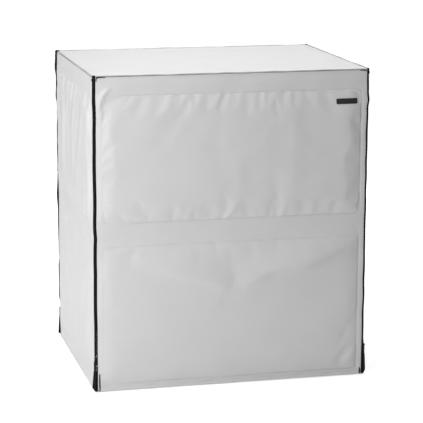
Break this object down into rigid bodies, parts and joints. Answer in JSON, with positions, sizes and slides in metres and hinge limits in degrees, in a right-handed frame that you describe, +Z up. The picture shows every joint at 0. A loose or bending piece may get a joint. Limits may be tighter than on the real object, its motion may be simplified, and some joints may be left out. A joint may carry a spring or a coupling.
{
  "type": "insulated trolley hood",
  "caption": "Box-shaped insulated fabric hood with padded walls, black corner zips and flaps that lift and fold, for covering a plate trolley.",
  "frame": {"origin": "on the floor under the middle of the hood", "axes": "+Z up, +Y towards the back (the front flap with the patch faces -Y), +X to the right seen from the front"},
  "size_m": [0.836, 0.6464, 0.925],
  "materials": {
    "wall_fabric": "satin",
    "roof_fabric": "satin",
    "lining": "satin",
    "foam": "matte",
    "binding": "satin",
    "piping": "satin",
    "zip_tape": "matte",
    "zip_coil": "satin",
    "zip_metal": "satin",
    "strap_webbing": "matte",
    "patch": "matte"
  },
  "bodies": {
    "back_left_puller": {"back_left_pull_strap": "strap_webbing", "back_left_pull_tab": "zip_metal"},
    "root": {"back_left_zip_coil": "zip_coil", "back_left_zip_tape": "zip_tape", "back_right_zip_coil": "zip_coil", "back_right_zip_tape": "zip_tape", "corner_tape_ends": "zip_tape", "front_left_zip_coil": "zip_coil", "front_left_zip_tape": "zip_tape", "front_right_zip_coil": "zip_coil", "front_right_zip_tape": "zip_tape", "left_lower_foam_pad": "foam", "left_upper_foam_pad": "foam", "left_wall_hem": "binding", "left_wall_lining": "lining", "left_wall_outer_skin": "wall_fabric", "right_lower_foam_pad": "foam", "right_upper_foam_pad": "foam", "right_wall_hem": "binding", "right_wall_lining": "lining", "right_wall_outer_skin": "wall_fabric", "roof_foam_board": "foam", "roof_lining": "lining", "roof_outer_skin": "roof_fabric", "roof_piping": "piping", "zip_stops": "zip_metal"},
    "back_left_slider": {"back_left_zip_slider": "zip_metal"},
    "back_lower": {"back_lower_foam_pad": "foam", "back_lower_hem": "binding", "back_lower_lining": "lining", "back_lower_outer_skin": "wall_fabric", "back_lower_zip_coils": "zip_coil", "back_lower_zip_tapes": "zip_tape"},
    "back_right_puller": {"back_right_pull_strap": "strap_webbing", "back_right_pull_tab": "zip_metal"},
    "back_right_slider": {"back_right_zip_slider": "zip_metal"},
    "back_upper": {"back_upper_foam_pad": "foam", "back_upper_lining": "lining", "back_upper_outer_skin": "wall_fabric", "back_upper_zip_coils": "zip_coil", "back_upper_zip_tapes": "zip_tape"},
    "front_left_puller": {"front_left_pull_strap": "strap_webbing", "front_left_pull_tab": "zip_metal"},
    "front_left_slider": {"front_left_zip_slider": "zip_metal"},
    "front_lower": {"front_lower_foam_pad": "foam", "front_lower_hem": "binding", "front_lower_lining": "lining", "front_lower_outer_skin": "wall_fabric", "front_lower_zip_coils": "zip_coil", "front_lower_zip_tapes": "zip_tape"},
    "front_upper": {"front_name_patch": "patch", "front_upper_foam_pad": "foam", "front_upper_lining": "lining", "front_upper_outer_skin": "wall_fabric", "front_upper_zip_coils": "zip_coil", "front_upper_zip_tapes": "zip_tape"},
    "front_right_puller": {"front_right_pull_strap": "strap_webbing", "front_right_pull_tab": "zip_metal"},
    "front_right_slider": {"front_right_zip_slider": "zip_metal"}
  },
  "joints": [
    {"name": "front_flap_lift", "type": "hinge", "parent": "root", "child": "front_upper", "pos_m": [0, -0.313, 0.923], "axis": [-1, 0, 0], "range_deg": [0, 180]},
    {"name": "front_flap_fold", "type": "hinge", "parent": "front_upper", "child": "front_lower", "pos_m": [0, -0.315, 0.465], "axis": [-1, 0, 0], "range_deg": [0, 140]},
    {"name": "back_flap_lift", "type": "hinge", "parent": "root", "child": "back_upper", "pos_m": [0, 0.313, 0.923], "axis": [1, 0, 0], "range_deg": [0, 180]},
    {"name": "back_flap_fold", "type": "hinge", "parent": "back_upper", "child": "back_lower", "pos_m": [0, 0.315, 0.465], "axis": [1, 0, 0], "range_deg": [0, 140]},
    {"name": "front_left_zip_slide", "type": "slide", "parent": "root", "child": "front_left_slider", "axis": [0, 0, 1], "range_m": [0, 0.8]},
    {"name": "front_left_pull_swing", "type": "hinge", "parent": "front_left_slider", "child": "front_left_puller", "pos_m": [-0.40918, -0.31418, 0.092], "axis": [-0.7071, 0.7071, 0], "range_deg": [0, 170]},
    {"name": "front_right_zip_slide", "type": "slide", "parent": "root", "child": "front_right_slider", "axis": [0, 0, 1], "range_m": [0, 0.8]},
    {"name": "front_right_pull_swing", "type": "hinge", "parent": "front_right_slider", "child": "front_right_puller", "pos_m": [0.40918, -0.31418, 0.092], "axis": [-0.7071, -0.7071, 0], "range_deg": [0, 170]},
    {"name": "back_left_zip_slide", "type": "slide", "parent": "root", "child": "back_left_slider", "axis": [0, 0, 1], "range_m": [0, 0.8]},
    {"name": "back_left_pull_swing", "type": "hinge", "parent": "back_left_slider", "child": "back_left_puller", "pos_m": [-0.40918, 0.31418, 0.092], "axis": [0.7071, 0.7071, 0], "range_deg": [0, 170]},
    {"name": "back_right_zip_slide", "type": "slide", "parent": "root", "child": "back_right_slider", "axis": [0, 0, 1], "range_m": [0, 0.8]},
    {"name": "back_right_pull_swing", "type": "hinge", "parent": "back_right_slider", "child": "back_right_puller", "pos_m": [0.40918, 0.31418, 0.092], "axis": [0.7071, -0.7071, 0], "range_deg": [0, 170]}
  ]
}
